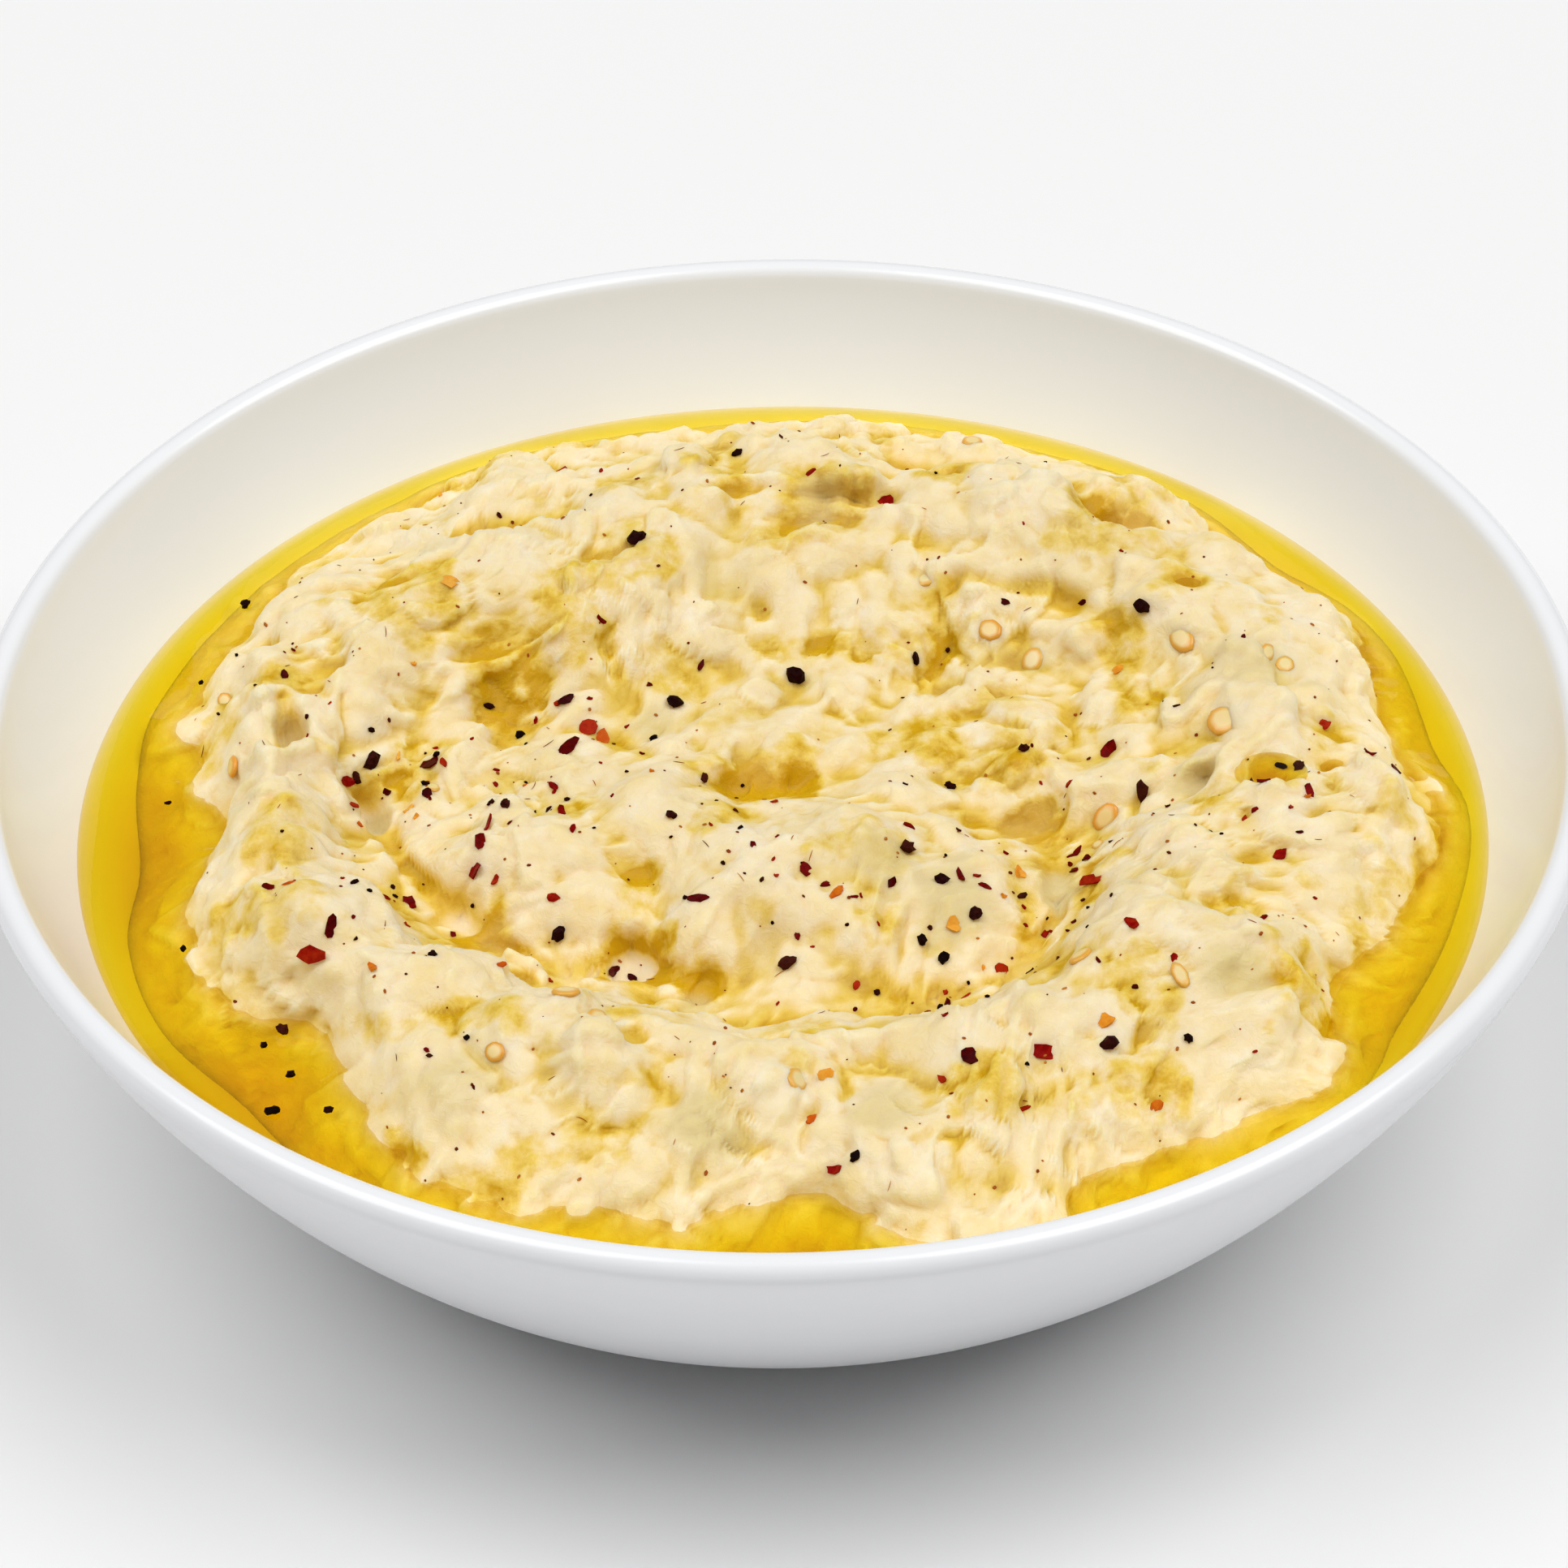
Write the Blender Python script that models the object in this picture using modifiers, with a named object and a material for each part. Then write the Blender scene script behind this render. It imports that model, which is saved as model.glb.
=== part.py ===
"""Baba ganoush served in a shallow white bowl, with olive oil standing round it.

Three solids: the turned bowl, the spooned dip and the ring of oil between them.
The origin is the bottom centre of the bowl's foot, +Z is up and -Y is the front.
Run it with: blender --background --python part.py
"""

import math

import bmesh
import bpy
import numpy as np
from mathutils import Vector, noise

MM = 0.001

# Bowl: a thin-walled turned shell on a low foot ring.
RIM_RADIUS = 75.0 * MM
BOWL_HEIGHT = 41.0 * MM
WALL = 3.0 * MM
RIM_LEAN = math.radians(20.0)  # how far the wall leans out from upright at the rim
TURN_IN_RADIUS = 40.0 * MM  # where the wall has curved round into the flat underside
FOOT_RADIUS = 36.5 * MM
FOOT_WIDTH = 4.0 * MM
FOOT_HEIGHT = 2.0 * MM
RECESS = 1.2 * MM  # how far the base inside the foot ring stays off the table
RIM_PULL = 0.2  # the wall curve's handle at the rim, as a share of its height
FLOOR_PULL = 0.4  # and its handle at the bottom, as a share of its overhang
WALL_STEPS = 7
LIP_STEPS = 4
TURN_STEPS = 60

# Contents: how high the oil stands, and what keeps the three solids apart.
OIL_LEVEL = 28.0 * MM
GAP = 0.3 * MM
SHARP_ANGLE = math.radians(55.0)
SLOPE_GAP = 0.5 * MM  # measured upright on a slope of about 45 degrees, so 0.35 mm across it
EDGE_DEPTH = 0.55  # how deep the dip meets the wall, per millimetre of oil outside it

# Dip mesh: a square grid wound into rings, the last two of them under the oil.
RINGS = 25
SKIRT_RINGS = 2
SKIRT_FALL = 0.42  # share of the edge depth reached at the middle ring of the skirt
UNDERSIDE_SHARE = 5  # rim vertices that meet in one vertex on the underside
UNDERSIDE_LEVELS = (18.0 * MM, 11.0 * MM)

# Where the dip's uneven outline crosses the oil: bearing in degrees from +X, radius in mm.
OUTLINE = (
    (0, 62.2), (10, 58.6), (23, 62.0), (31, 61.6), (40, 59.2), (52, 62.6),
    (66, 62.0), (80, 62.8), (98, 62.0), (116, 62.8), (130, 61.6), (150, 60.2),
    (164, 58.8), (172, 55.6), (182, 51.8), (193, 56.2), (206, 57.0), (215, 51.0),
    (225, 54.2), (238, 58.8), (246, 59.4), (253, 56.2), (260, 58.4), (267, 53.4),
    (274, 53.2), (281, 60.6), (290, 61.6), (299, 56.6), (309, 59.4), (318, 62.2), (326, 60.4),
    (333, 56.4), (346, 59.2),
)

# The raised outer ridge: bearing, radius and height of its crest over the oil,
# and how far in its inner side takes to come down, all but the first in mm.
CREST = (
    (5, 44.0, 8.0, 16.0), (22, 48.0, 8.0, 20.0), (40, 47.0, 8.6, 22.0), (56, 45.0, 8.8, 24.0),
    (74, 42.0, 8.2, 24.0), (92, 41.0, 8.0, 24.0), (110, 40.0, 8.0, 22.0), (128, 38.0, 8.4, 19.0),
    (148, 41.0, 8.0, 15.0), (168, 47.0, 6.8, 13.0), (190, 48.0, 6.4, 13.0), (210, 46.0, 6.8, 13.0),
    (230, 41.5, 7.2, 11.0), (250, 37.5, 6.8, 10.0), (270, 37.5, 6.3, 9.0), (292, 39.0, 7.0, 9.0),
    (312, 41.5, 8.0, 11.0), (330, 41.0, 8.2, 13.0), (348, 41.5, 8.2, 14.0),
)
BASIN_HEIGHT = 2.4  # mm over the oil, inside the ridge
EDGE_ROUNDING = (1.9, 0.8)  # powers that make the outer slope bulge and end steeply

# The spoon's track: it starts on the left, runs round the front and spirals in
# on the right. Bearing, radius in mm, and depth in mm below what it cuts.
TRACK = (
    (168, 39.0, 0.0), (182, 38.0, 2.4), (204, 35.0, 3.0), (222, 31.5, 3.0), (238, 28.0, 3.2),
    (262, 29.0, 2.2), (284, 30.0, 2.0), (308, 31.5, 3.0), (326, 29.5, 3.6), (344, 25.0, 2.6),
    (358, 20.0, 2.0), (376, 16.0, 1.2), (394, 14.0, 0.0),
)
TRACK_HALF_WIDTH = 4.0
TRACK_SAMPLES = 90

# Mounds (+) and hollows (-): centre x, y, half length, half width, turn in degrees, height, in mm.
MOUNDS = (
    (2.6, -10.5, 18.0, 13.5, 8, 4.6),  # what the spoon left standing in the middle
    (-15.0, -5.5, 17.0, 12.0, 10, 2.4),
    (-27.0, -6.0, 12.0, 10.0, 0, 1.6),
    (-4.5, -20.0, 9.0, 7.0, 0, 1.4),
    (9.0, 0.6, 5.0, 3.6, 0, 1.6),
    (17.0, -15.5, 10.0, 8.0, -40, 1.0),
    (-41.0, -22.0, 9.0, 8.0, -30, 1.2),
    (-46.0, -13.0, 7.0, 6.0, 0, 1.0),
    (-49.0, 14.0, 8.0, 6.0, 60, 1.0),
    (-30.0, 27.0, 13.0, 8.0, 40, 1.0),
    (27.0, 37.5, 12.0, 7.0, -25, 1.2),
    (45.0, 19.0, 9.0, 9.0, 0, 1.0),
    (56.0, -3.0, 7.0, 5.0, -50, 2.0),
    (40.0, -28.0, 11.0, 8.0, 30, 1.0),
    (20.0, -38.0, 12.0, 6.0, 10, 0.8),
    (-22.0, -38.0, 12.0, 7.0, -25, 0.8),
    (0.0, 49.0, 14.0, 5.0, 0, 0.8),
)
HOLLOWS = (
    (-25.0, 15.5, 6.0, 4.6, 30, -2.6),
    (-5.5, 17.5, 10.0, 6.5, 0, -1.2),
    (12.0, 13.0, 10.0, 6.0, 0, -0.8),
    (-2.5, 2.6, 9.0, 3.8, 8, -2.2),
    (-38.0, -1.5, 6.5, 3.6, 80, -2.8),
    (-46.0, 7.0, 6.0, 3.4, 80, -2.2),
    (-27.5, -18.4, 6.0, 3.2, -35, -1.8),
    (-13.4, -23.2, 5.0, 4.2, -20, -2.6),
    (-8.0, -27.0, 4.0, 3.2, 0, -1.2),
    (38.4, -3.0, 3.6, 3.4, 0, -2.2),
    (24.8, -16.5, 6.5, 3.6, 75, -2.0),
    (45.0, -1.2, 5.0, 3.4, 10, -1.6),
    (35.0, 37.5, 8.5, 4.2, -35, -3.6),
    (4.0, 38.6, 9.0, 3.8, 0, -2.4),
    (15.5, 49.5, 11.0, 4.0, -10, -3.0),
    (42.0, -32.0, 6.0, 3.6, 50, -1.6),
)
LUMP_SIZES = ((13.0, 3.4), (7.0, 2.6))  # spacing and height in mm of the mash's own lumps
LUMP_MIDDLE = 0.22  # how much of a lump's height counts as its middle, so lumps add no bulk
LUMP_SEED = Vector((13.7, 4.2, 8.9))


def principled(name, color, roughness, **more):
    """A Principled BSDF material; colour is linear red, green and blue."""
    material = bpy.data.materials.new(name)
    material.use_nodes = True
    shader = material.node_tree.nodes["Principled BSDF"]
    shader.inputs["Base Color"].default_value = (*color, 1.0)
    shader.inputs["Roughness"].default_value = roughness
    shader.inputs["Metallic"].default_value = 0.0
    for socket, value in more.items():
        shader.inputs[socket.replace("_", " ")].default_value = value
    return material


def add_object(name, mesh, collection, material):
    """Puts a mesh in the collection as a named object, smooth but for its sharp edges."""
    mesh.shade_smooth()
    mesh.set_sharp_from_angle(angle=SHARP_ANGLE)
    mesh.materials.append(material)
    made = bpy.data.objects.new(name, mesh)
    collection.objects.link(made)
    return made


# ---------------------------------------------------------------- the bowl


def bezier(points, share):
    """Point and unit tangent at this share of the way along a cubic curve."""
    a, b, c, d = (Vector(p) for p in points)
    rest = 1.0 - share
    point = rest**3 * a + 3 * rest**2 * share * b + 3 * rest * share**2 * c + share**3 * d
    tangent = rest**2 * (b - a) + 2 * rest * share * (c - b) + share**2 * (d - c)
    return point, tangent.normalized()


def lip_centre():
    return Vector((RIM_RADIUS - WALL / 2, BOWL_HEIGHT - WALL / 2))


def wall_points(offset, steps=WALL_STEPS):
    """The wall from rim to floor as (radius, height) pairs, moved inwards by offset."""
    outward = Vector((math.cos(RIM_LEAN), -math.sin(RIM_LEAN)))
    top = lip_centre() + outward * WALL / 2
    bottom = Vector((TURN_IN_RADIUS, FOOT_HEIGHT))
    drop = (top.y - bottom.y) / math.cos(RIM_LEAN)
    down = Vector((-math.sin(RIM_LEAN), -math.cos(RIM_LEAN)))
    curve = (
        top,
        top + down * drop * RIM_PULL,
        bottom + Vector(((top.x - bottom.x) * FLOOR_PULL, 0.0)),
        bottom,
    )
    points = []
    for step in range(steps + 1):
        point, tangent = bezier(curve, step / steps)
        inward = Vector((tangent.y, -tangent.x))
        points.append(point + inward * offset)
    return points


def inner_radius(height):
    """Radius of the bowl's inside at this height above the table."""
    wall = wall_points(WALL)
    heights = [point.y for point in reversed(wall)]
    radii = [point.x for point in reversed(wall)]
    return float(np.interp(height, heights, radii))


def bowl_profile():
    """Half section from the floor's centre, up the inside, over the lip and down to the base."""
    centre = lip_centre()
    inside = list(reversed(wall_points(WALL)))
    lip = []
    for step in range(1, LIP_STEPS):
        turn = math.pi - RIM_LEAN - math.pi * step / LIP_STEPS
        lip.append(centre + Vector((math.cos(turn), math.sin(turn))) * WALL / 2)
    outside = wall_points(0.0)
    foot = [
        Vector((FOOT_RADIUS, FOOT_HEIGHT)),
        Vector((FOOT_RADIUS, 0.0)),
        Vector((FOOT_RADIUS - FOOT_WIDTH, 0.0)),
        Vector((FOOT_RADIUS - FOOT_WIDTH, RECESS)),
        Vector((0.0, RECESS)),
    ]
    return [Vector((0.0, FOOT_HEIGHT + WALL))] + inside + lip + outside + foot


def make_bowl(collection):
    """The bowl, turned from its half section with a Screw modifier."""
    build = bmesh.new()
    profile = [build.verts.new((point.x, 0.0, point.y)) for point in bowl_profile()]
    for upper, lower in zip(profile, profile[1:]):
        build.edges.new((upper, lower))
    mesh = bpy.data.meshes.new("bowl")
    build.to_mesh(mesh)
    build.free()
    glaze = principled("white_glazed_ceramic", (0.80, 0.79, 0.78), 0.2)
    bowl = add_object("bowl", mesh, collection, glaze)
    turning = bowl.modifiers.new("turning", "SCREW")
    turning.axis = "Z"
    turning.steps = turning.render_steps = TURN_STEPS
    turning.use_merge_vertices = True
    turning.merge_threshold = 0.00001
    turning.use_smooth_shade = True
    return bowl


# ---------------------------------------------------------------- the dip's form


def around(table, bearing):
    """The table's values at a bearing, on a smooth closed curve through its rows."""
    rows = np.array(table, float)
    count = len(rows)
    after = int(np.searchsorted(rows[:, 0], bearing % 360.0, side="right"))
    picked = [rows[(after + step) % count].copy() for step in (-2, -1, 0, 1)]
    start = picked[1][0]
    for row, side in zip(picked, (-1, 0, 1, 1)):
        if side < 0 and row[0] > start:
            row[0] -= 360.0
        if side > 0 and row[0] < start:
            row[0] += 360.0
    before, here, there, beyond = picked
    span = there[0] - here[0]
    share = ((bearing - here[0]) % 360.0) / span
    leaving = (there - before) / (there[0] - before[0]) * span
    arriving = (beyond - here) / (beyond[0] - here[0]) * span
    value = (
        (2 * share**3 - 3 * share**2 + 1) * here
        + (share**3 - 2 * share**2 + share) * leaving
        + (3 * share**2 - 2 * share**3) * there
        + (share**3 - share**2) * arriving
    )
    return value[1:]


def track_points():
    """The spoon's track as x, y and depth in mm, finely sampled."""
    rows = np.array(TRACK, float)
    bearings = np.linspace(rows[0, 0], rows[-1, 0], TRACK_SAMPLES)
    radii = np.interp(bearings, rows[:, 0], rows[:, 1])
    depths = np.interp(bearings, rows[:, 0], rows[:, 2])
    turns = np.radians(bearings)
    return np.stack([radii * np.cos(turns), radii * np.sin(turns), depths], axis=1)


def ease(share):
    share = min(max(share, 0.0), 1.0)
    return share * share * (3.0 - 2.0 * share)


def ridge_height(radius, bearing):
    """The outer ridge and the basin inside it, in mm over the oil."""
    edge = around(OUTLINE, bearing)[0]
    crest, height, fall = around(CREST, bearing)
    if radius >= crest:
        bulge, end = EDGE_ROUNDING
        share = min((radius - crest) / (edge - crest), 1.0)
        return height * (1.0 - share**bulge) ** end
    return BASIN_HEIGHT + (height - BASIN_HEIGHT) * (1.0 - ease((crest - radius) / fall))


def spot_height(x, y, spot):
    """What one mound or hollow adds at x, y."""
    centre_x, centre_y, half_length, half_width, turn, height = spot
    turn = math.radians(turn)
    along = (x - centre_x) * math.cos(turn) + (y - centre_y) * math.sin(turn)
    across = (y - centre_y) * math.cos(turn) - (x - centre_x) * math.sin(turn)
    share = (along / half_length) ** 2 + (across / half_width) ** 2
    return height * (1.0 - share) ** 2 if share < 1.0 else 0.0


def lump_height(x, y):
    """The mash's own unevenness: rounded lumps with creases between them."""
    total = 0.0
    for spacing, height in LUMP_SIZES:
        place = Vector((x / spacing, y / spacing, 0.0)) + LUMP_SEED * spacing
        total += height * (abs(noise.noise(place)) - LUMP_MIDDLE)
    return total


def dip_height(x, y, track):
    """Height of the dip's top over the oil at x, y inside its outline, all in mm."""
    radius = math.hypot(x, y)
    bearing = math.degrees(math.atan2(y, x))
    edge = around(OUTLINE, bearing)[0]
    height = ridge_height(radius, bearing)
    near = ease((edge - radius) / 5.0)
    for spot in MOUNDS + HOLLOWS:
        height += near * spot_height(x, y, spot)
    away = np.hypot(track[:, 0] - x, track[:, 1] - y)
    height -= float(np.max(track[:, 2] * np.exp(-((away / TRACK_HALF_WIDTH) ** 2))))
    return max(height + near * lump_height(x, y), 0.3 * near)


# ---------------------------------------------------------------- the dip's solid


def ring_place(across, along):
    """Ring number and bearing of a grid corner: squares of the grid become circles."""
    ring = max(abs(across), abs(along))
    if ring == 0:
        return 0, 0.0
    if abs(across) >= abs(along):
        bearing = 45.0 * along / across + (0.0 if across > 0 else 180.0)
    else:
        bearing = 90.0 - 45.0 * across / along + (0.0 if along > 0 else 180.0)
    return ring, bearing % 360.0


def skirt_point(bearing, ring):
    """Radius and height in metres of a ring of the skirt, the dip's slope under the oil."""
    edge = around(OUTLINE, bearing)[0] * MM
    depth = EDGE_DEPTH * (inner_radius(OIL_LEVEL) - edge)
    foot = inner_radius(OIL_LEVEL - depth) - GAP
    share = (ring - (RINGS - SKIRT_RINGS)) / SKIRT_RINGS
    fall = {0.0: 0.0, 0.5: SKIRT_FALL, 1.0: 1.0}[share]
    return edge + (foot - edge) * share, OIL_LEVEL - depth * fall


def place_dip_vertex(vertex, track):
    """Moves one grid corner, numbered from the grid's middle, onto the dip's top."""
    ring, bearing = ring_place(round(vertex.co.x), round(vertex.co.y))
    inner_rings = RINGS - SKIRT_RINGS
    turn = math.radians(bearing)
    if ring >= inner_rings:
        radius, height = skirt_point(bearing, ring)
    else:
        radius = around(OUTLINE, bearing)[0] * MM * ring / inner_rings
        x, y = radius * math.cos(turn) / MM, radius * math.sin(turn) / MM
        height = OIL_LEVEL + dip_height(x, y, track) * MM
    vertex.co = (radius * math.cos(turn), radius * math.sin(turn), height)


def lower_ring(build, edges, level):
    """Extrudes an edge loop down the bowl's wall to this level and returns the new edges."""
    made = bmesh.ops.extrude_edge_only(build, edges=edges)["geom"]
    for item in made:
        if isinstance(item, bmesh.types.BMVert):
            turn = math.atan2(item.co.y, item.co.x)
            radius = inner_radius(level) - GAP
            item.co = (radius * math.cos(turn), radius * math.sin(turn), level)
    return [item for item in made if isinstance(item, bmesh.types.BMEdge)]


def thin_ring(build, edges):
    """Welds each few vertices of a loop into one, and returns the edges that are left."""
    loop = sorted({v for edge in edges for v in edge.verts}, key=lambda v: math.atan2(v.co.y, v.co.x))
    targets = {}
    for index, vertex in enumerate(loop):
        group = index // UNDERSIDE_SHARE * UNDERSIDE_SHARE + UNDERSIDE_SHARE // 2
        if index != group:
            targets[vertex] = loop[group]
    bmesh.ops.weld_verts(build, targetmap=targets)
    return [edge for edge in build.edges if edge.is_boundary]


def make_dip(collection):
    """The dip: its top from a grid wound into rings, its underside down the bowl's wall."""
    build = bmesh.new()
    bmesh.ops.create_grid(build, x_segments=2 * RINGS, y_segments=2 * RINGS, size=RINGS)
    track = track_points()
    for vertex in build.verts:
        place_dip_vertex(vertex, track)
    edges = [edge for edge in build.edges if edge.is_boundary]
    for number, level in enumerate(UNDERSIDE_LEVELS):
        edges = lower_ring(build, edges, level)
        if number == 0:
            edges = thin_ring(build, edges)
    floor = FOOT_HEIGHT + WALL + GAP
    edges = lower_ring(build, edges, floor)
    bmesh.ops.edgeloop_fill(build, edges=edges)
    bmesh.ops.recalc_face_normals(build, faces=build.faces)
    mesh = bpy.data.meshes.new("baba_ganoush")
    build.to_mesh(mesh)
    build.free()
    mash = principled("aubergine_and_sesame_mash", (0.87, 0.72, 0.42), 0.42)
    return add_object("baba_ganoush", mesh, collection, mash)


# ---------------------------------------------------------------- the oil


def oil_section(bearing):
    """The oil's section at a bearing, as (radius, height): round the dip, down and up the wall."""
    outline, _ = skirt_point(bearing, RINGS - SKIRT_RINGS)
    middle, middle_height = skirt_point(bearing, RINGS - 1)
    _, foot_height = skirt_point(bearing, RINGS)
    bottom = foot_height + SLOPE_GAP
    return (
        (outline + SLOPE_GAP, OIL_LEVEL),
        (middle, middle_height + SLOPE_GAP),
        (inner_radius(bottom) - GAP, bottom),
        (inner_radius(OIL_LEVEL) - GAP, OIL_LEVEL),
    )


def make_oil(collection):
    """The oil: a ring whose four-sided section changes from bearing to bearing."""
    build = bmesh.new()
    count = 8 * RINGS
    sections = []
    for index in range(count):
        bearing = 360.0 * index / count
        turn = math.radians(bearing)
        sections.append([
            build.verts.new((radius * math.cos(turn), radius * math.sin(turn), height))
            for radius, height in oil_section(bearing)
        ])
    for here, there in zip(sections, sections[1:] + sections[:1]):
        for corner in range(len(here)):
            after = (corner + 1) % len(here)
            build.faces.new((here[corner], here[after], there[after], there[corner]))
    bmesh.ops.recalc_face_normals(build, faces=build.faces)
    mesh = bpy.data.meshes.new("olive_oil")
    build.to_mesh(mesh)
    build.free()
    oil = principled("olive_oil", (0.80, 0.55, 0.01), 0.06, IOR=1.47)
    return add_object("olive_oil", mesh, collection, oil)


def main():
    for leftover in list(bpy.data.objects):
        bpy.data.objects.remove(leftover, do_unlink=True)
    collection = bpy.data.collections.new("baba_ganoush_bowl")
    bpy.context.scene.collection.children.link(collection)
    make_bowl(collection)
    make_dip(collection)
    make_oil(collection)


main()
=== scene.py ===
import math
import random

import bmesh
import bpy
import numpy as np
from mathutils import Matrix, Vector, noise
from mathutils.bvhtree import BVHTree


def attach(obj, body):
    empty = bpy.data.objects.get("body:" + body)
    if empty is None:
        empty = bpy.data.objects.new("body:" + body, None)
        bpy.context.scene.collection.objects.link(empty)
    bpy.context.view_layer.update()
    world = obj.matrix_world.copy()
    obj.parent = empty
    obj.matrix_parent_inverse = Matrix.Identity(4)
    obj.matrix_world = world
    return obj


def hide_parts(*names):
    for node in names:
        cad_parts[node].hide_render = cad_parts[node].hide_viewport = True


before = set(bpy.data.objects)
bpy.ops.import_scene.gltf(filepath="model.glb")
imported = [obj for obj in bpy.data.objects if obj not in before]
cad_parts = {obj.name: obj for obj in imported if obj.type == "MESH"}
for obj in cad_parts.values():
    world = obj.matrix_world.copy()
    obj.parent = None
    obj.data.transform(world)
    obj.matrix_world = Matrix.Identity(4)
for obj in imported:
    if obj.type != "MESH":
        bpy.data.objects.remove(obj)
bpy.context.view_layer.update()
mm = 0.001

# camera, light and floor

view = {
    "lens": 151.2,
    "sensor": 36.0,
    "distance": 0.6,  # metres from what it looks at
    "elevation": 38.9,  # degrees down onto the table
    "roll": -0.8,  # degrees
    "target": (0.0002, -0.0096, 0.0402),
}
light = {
    "sky": 0.13,  # the dim even light that reaches under the bowl
    "skySeen": 0.85,  # the pale room behind the floor, as the camera sees it
    "skyColour": "fffefc",
    "softboxStrength": 3.24,  # both softboxes together
    "softboxSpread": 44.0,  # degrees across
    "softboxAside": 0.52,  # how far off the vertical each stands to its side
    "softboxForward": 0.07,  # and to the front
    "softboxUneven": 0.06,  # how much stronger than the mean the right one is
    "floorColour": "f1f1f1",
    "floorHalf": 3.0,  # metres from its middle to each side
}


def linear(code):
    # sRGB hex to the linear colour that the shaders take
    parts = [int(code[i:i + 2], 16) / 255 for i in (0, 2, 4)]
    return (*[c / 12.92 if c <= 0.04045 else ((c + 0.055) / 1.055) ** 2.4 for c in parts], 1.0)


def newMaterial(name, **values):
    # values are the shader's own sockets, with _ for a space
    material = bpy.data.materials.new(name)
    material.use_nodes = True
    shader = material.node_tree.nodes["Principled BSDF"]
    for socket, value in values.items():
        shader.inputs[socket.replace("_", " ")].default_value = value
    return material, shader


def addNode(material, kind, inputs=None, links=None, tones=(), **settings):
    # settings are the node's own, inputs are values by socket, links are outputs by socket,
    # and tones are a colour ramp's stops as place and hex code
    node = material.node_tree.nodes.new(kind)
    for key, value in settings.items():
        setattr(node, key, value)
    for socket, value in (inputs or {}).items():
        node.inputs[socket].default_value = value
    for socket, source in (links or {}).items():
        material.node_tree.links.new(source, node.inputs[socket])
    for at, code in tones:
        stops = node.color_ramp.elements
        stop = stops[0] if at == 0.0 else stops[-1] if at == 1.0 else stops.new(at)
        stop.position, stop.color = at, linear(code)
    return node


def link(material, source, target):
    material.node_tree.links.new(source, target)


def finishPiece(build, name, material, slot=None, smooth=True):
    # the bmesh becomes an object; one with a slot is part of the bowl of dip
    mesh = bpy.data.meshes.new(name)
    build.to_mesh(mesh)
    build.free()
    mesh.materials.append(material)
    if smooth:
        mesh.shade_smooth()
    piece = bpy.data.objects.new(name, mesh)
    bpy.context.scene.collection.objects.link(piece)
    if slot:
        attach(piece, "root")
    print("made", name, len(mesh.polygons), "faces")
    return piece


def setAttribute(mesh, name, values):
    attribute = mesh.attributes.new(name, "FLOAT", "POINT")
    attribute.data.foreach_set("value", np.asarray(values, np.float32))


def makeCamera():
    lens = bpy.data.cameras.new("camera")
    lens.lens = view["lens"]
    lens.sensor_width = view["sensor"]
    camera = bpy.data.objects.new("camera", lens)
    bpy.context.scene.collection.objects.link(camera)
    down = math.radians(view["elevation"])
    ahead = Vector((0.0, math.cos(down), -math.sin(down)))
    place = Matrix.Translation(Vector(view["target"]) - ahead * view["distance"])
    turn = ahead.to_track_quat("-Z", "Y").to_matrix().to_4x4()
    camera.matrix_world = place @ turn @ Matrix.Rotation(math.radians(view["roll"]), 4, "Z")
    bpy.context.scene.camera = camera


def makeLights():
    world = bpy.data.worlds.new("room")
    bpy.context.scene.world = world
    world.use_nodes = True
    sky = world.node_tree.nodes["Background"]
    sky.inputs["Color"].default_value = linear(light["skyColour"])
    seen = addNode(world, "ShaderNodeLightPath").outputs["Is Camera Ray"]
    strength = addNode(world, "ShaderNodeMapRange", {"To Min": light["sky"], "To Max": light["skySeen"]},
                       {"Value": seen})
    link(world, strength.outputs["Result"], sky.inputs["Strength"])
    # two wide softboxes, one to each side
    for aside in (-1, 1):
        box = bpy.data.lights.new("softbox", "SUN")
        box.energy = light["softboxStrength"] / 2 * (1 - aside * light["softboxUneven"])
        box.angle = math.radians(light["softboxSpread"])
        lamp = bpy.data.objects.new("softbox", box)
        bpy.context.scene.collection.objects.link(lamp)
        away = Vector((aside * light["softboxAside"], light["softboxForward"], -1.0))
        lamp.rotation_euler = away.to_track_quat("-Z", "Y").to_euler()
    bpy.context.scene.view_settings.view_transform = "Standard"


def makeFloor():
    # matt white paper: pale and even, with no gloss
    paper, _ = newMaterial("matt white paper", Base_Color=linear(light["floorColour"]), Roughness=0.9)
    build = bmesh.new()
    bmesh.ops.create_grid(build, x_segments=4, y_segments=4, size=light["floorHalf"])
    floor = finishPiece(build, "floor", paper)


makeCamera()
makeLights()
print("camera and lights set")
makeFloor()

# the bowl: white glazed stoneware, thin walled. All sizes in mm

bowl = {
    "rimRadius": 74.9,
    "height": 40.9,
    "wall": 3.0,
    "lean": 20.0,  # degrees out from upright at the rim
    "turnIn": 40.0,  # radius where the wall has curved into the flat underside
    "footRadius": 36.5,
    "footWidth": 4.0,
    "footHeight": 2.0,
    "footRound": 0.4,  # its rounded lower edges
    "recess": 1.2,
    "rimPull": 0.2,  # how long the wall stays straight under the rim, as a share of its drop
    "floorPull": 0.4,  # and above the foot, as a share of its run
    "wallSteps": 28,
    "lipSteps": 10,
    "turnSteps": 220,
    "tints": ("f6f7fa", "f1f2f4"),  # the two whites that the glaze clouds between
    "paintedInsideLight": "fbfdff",  # painted light: a brighter, cooler white painted on the inside walls
    "bareTint": "d9d3c8",  # where the foot is wiped bare
}


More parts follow.
